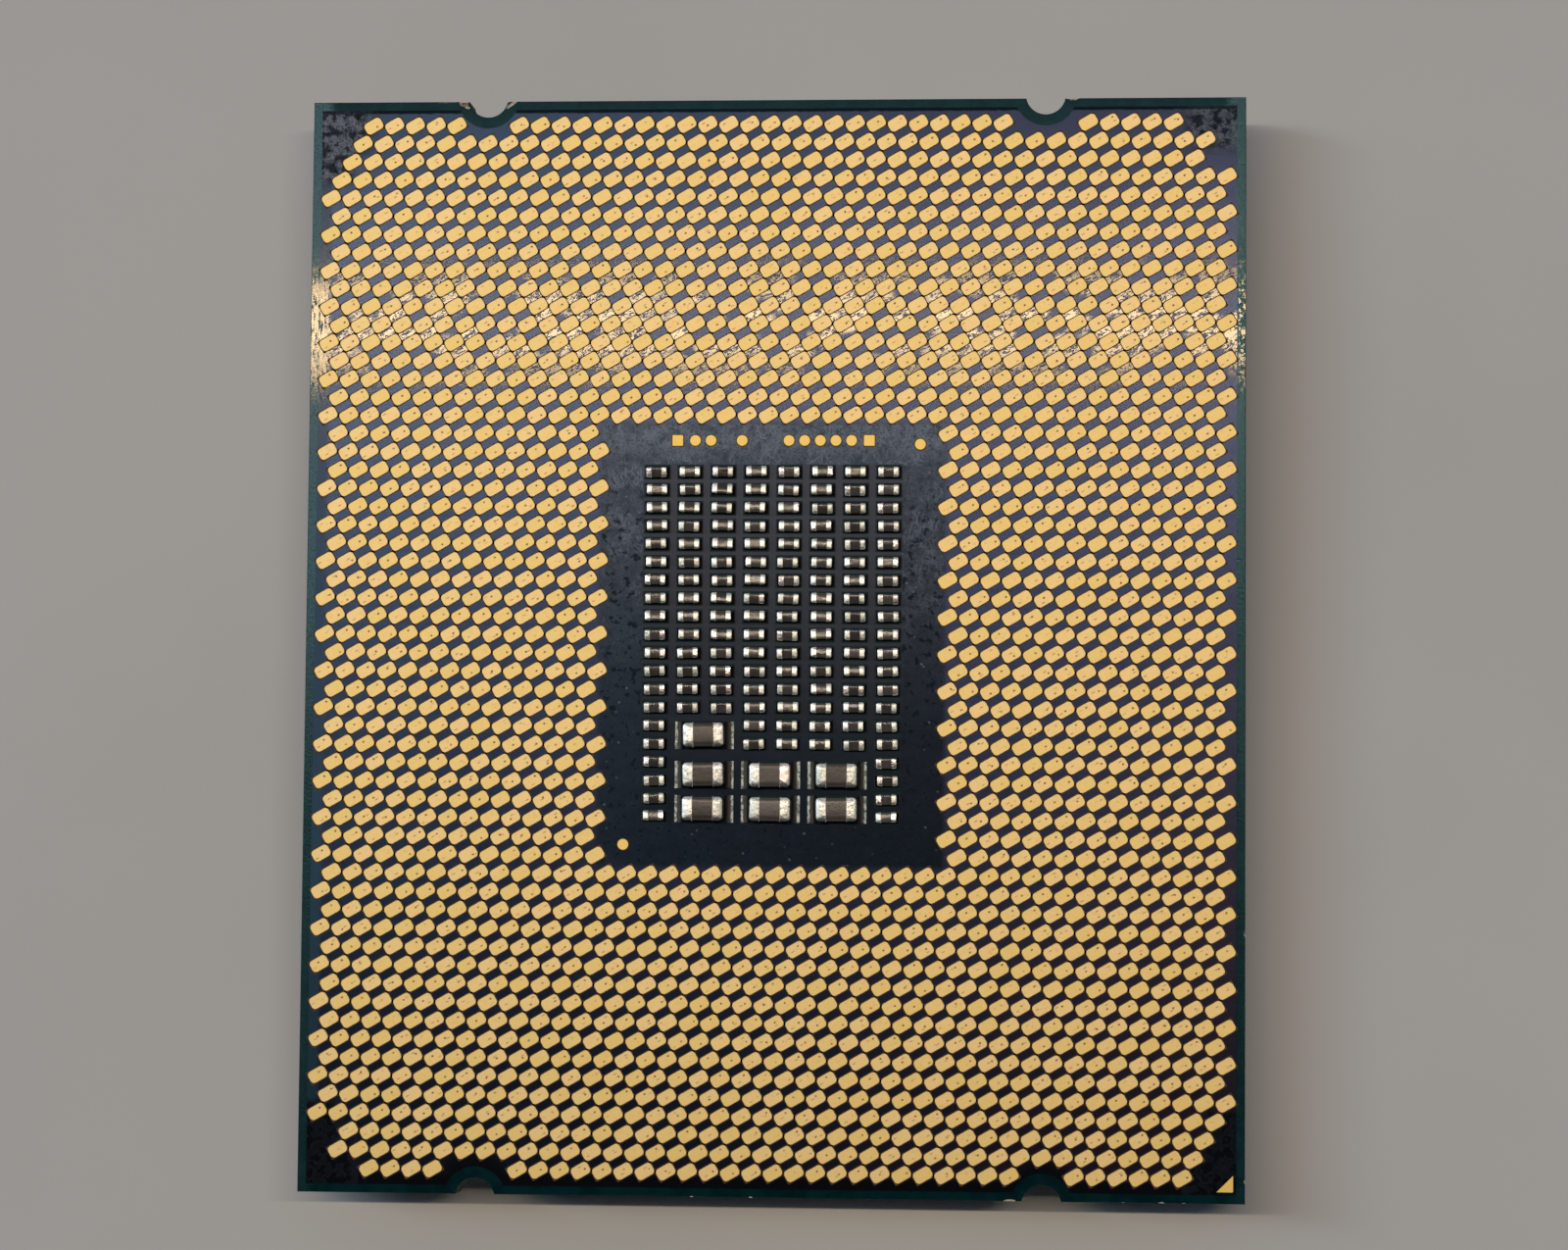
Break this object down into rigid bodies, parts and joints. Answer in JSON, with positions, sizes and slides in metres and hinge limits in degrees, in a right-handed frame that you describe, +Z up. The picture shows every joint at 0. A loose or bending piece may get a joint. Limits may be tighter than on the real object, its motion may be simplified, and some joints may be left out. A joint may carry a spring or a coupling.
{
  "type": "computer processor",
  "caption": "Flat processor package: green board with a staggered grid of gold lands round a field of tiny capacitors, bonded to a stepped metal heat spreader.",
  "frame": {"origin": "under the middle of the board, on the heat spreader's flat face that rests on the surface", "axes": "+Z up through the board to the gold lands, +Y along the board's long side towards the test pad row, +X across the board towards the corner marker"},
  "size_m": [0.045, 0.0524, 0.0059],
  "materials": {
    "board_laminate": "satin green laminate, tan fibre at worn edges",
    "resist": "dark blue-black resist over copper, semi-gloss",
    "gold": "matte gold plating with fine contact marks",
    "capacitor_ceramic": "dark brown-grey fired ceramic",
    "tin": "matte tin plating",
    "solder": "bright solder",
    "silicon": "polished silicon",
    "underfill": "cured resin",
    "soft_metal": "soft solder metal",
    "sealant": "black elastic sealant",
    "nickel_plate": "satin nickel plating on copper"
  },
  "bodies": {
    "root": {"base_board": "board_laminate", "solder_resist": "resist", "lands_north": "gold", "lands_south": "gold", "lands_west": "gold", "lands_east": "gold", "test_pads": "gold", "alignment_dots": "gold", "corner_markers": "gold", "small_capacitor_bodies": "capacitor_ceramic", "small_capacitor_terminals": "tin", "small_capacitor_solder": "solder", "large_capacitor_bodies": "capacitor_ceramic", "large_capacitor_terminals": "tin", "large_capacitor_solder": "solder", "silicon_die": "silicon", "die_underfill": "underfill", "die_solder": "soft_metal", "lid_adhesive": "sealant", "heat_spreader": "nickel_plate"}
  },
  "joints": []
}
